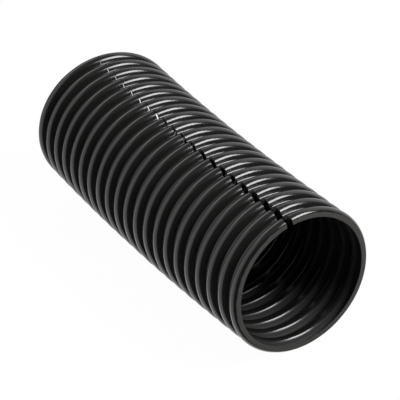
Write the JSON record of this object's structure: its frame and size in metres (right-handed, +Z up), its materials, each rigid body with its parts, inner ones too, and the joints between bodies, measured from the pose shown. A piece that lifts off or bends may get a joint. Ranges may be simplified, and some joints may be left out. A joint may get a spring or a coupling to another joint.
{
  "type": "corrugated conduit",
  "caption": "Short length of black plastic corrugated conduit, slit lengthwise so that wires can be laid in from the side.",
  "frame": {"origin": "on the floor under the middle of the lying conduit", "axes": "+X along the conduit to its front end, +Z up, the slit at the top and turned a little towards -Y, the lasting bend level with both ends towards +Y"},
  "size_m": [0.1127, 0.0448, 0.043],
  "materials": {
    "conduit_plastic": "black extruded plastic, satin gloss, finely scuffed on the crests and dull on the cut faces"
  },
  "bodies": {
    "root": {"conduit": "conduit_plastic"}
  },
  "joints": []
}
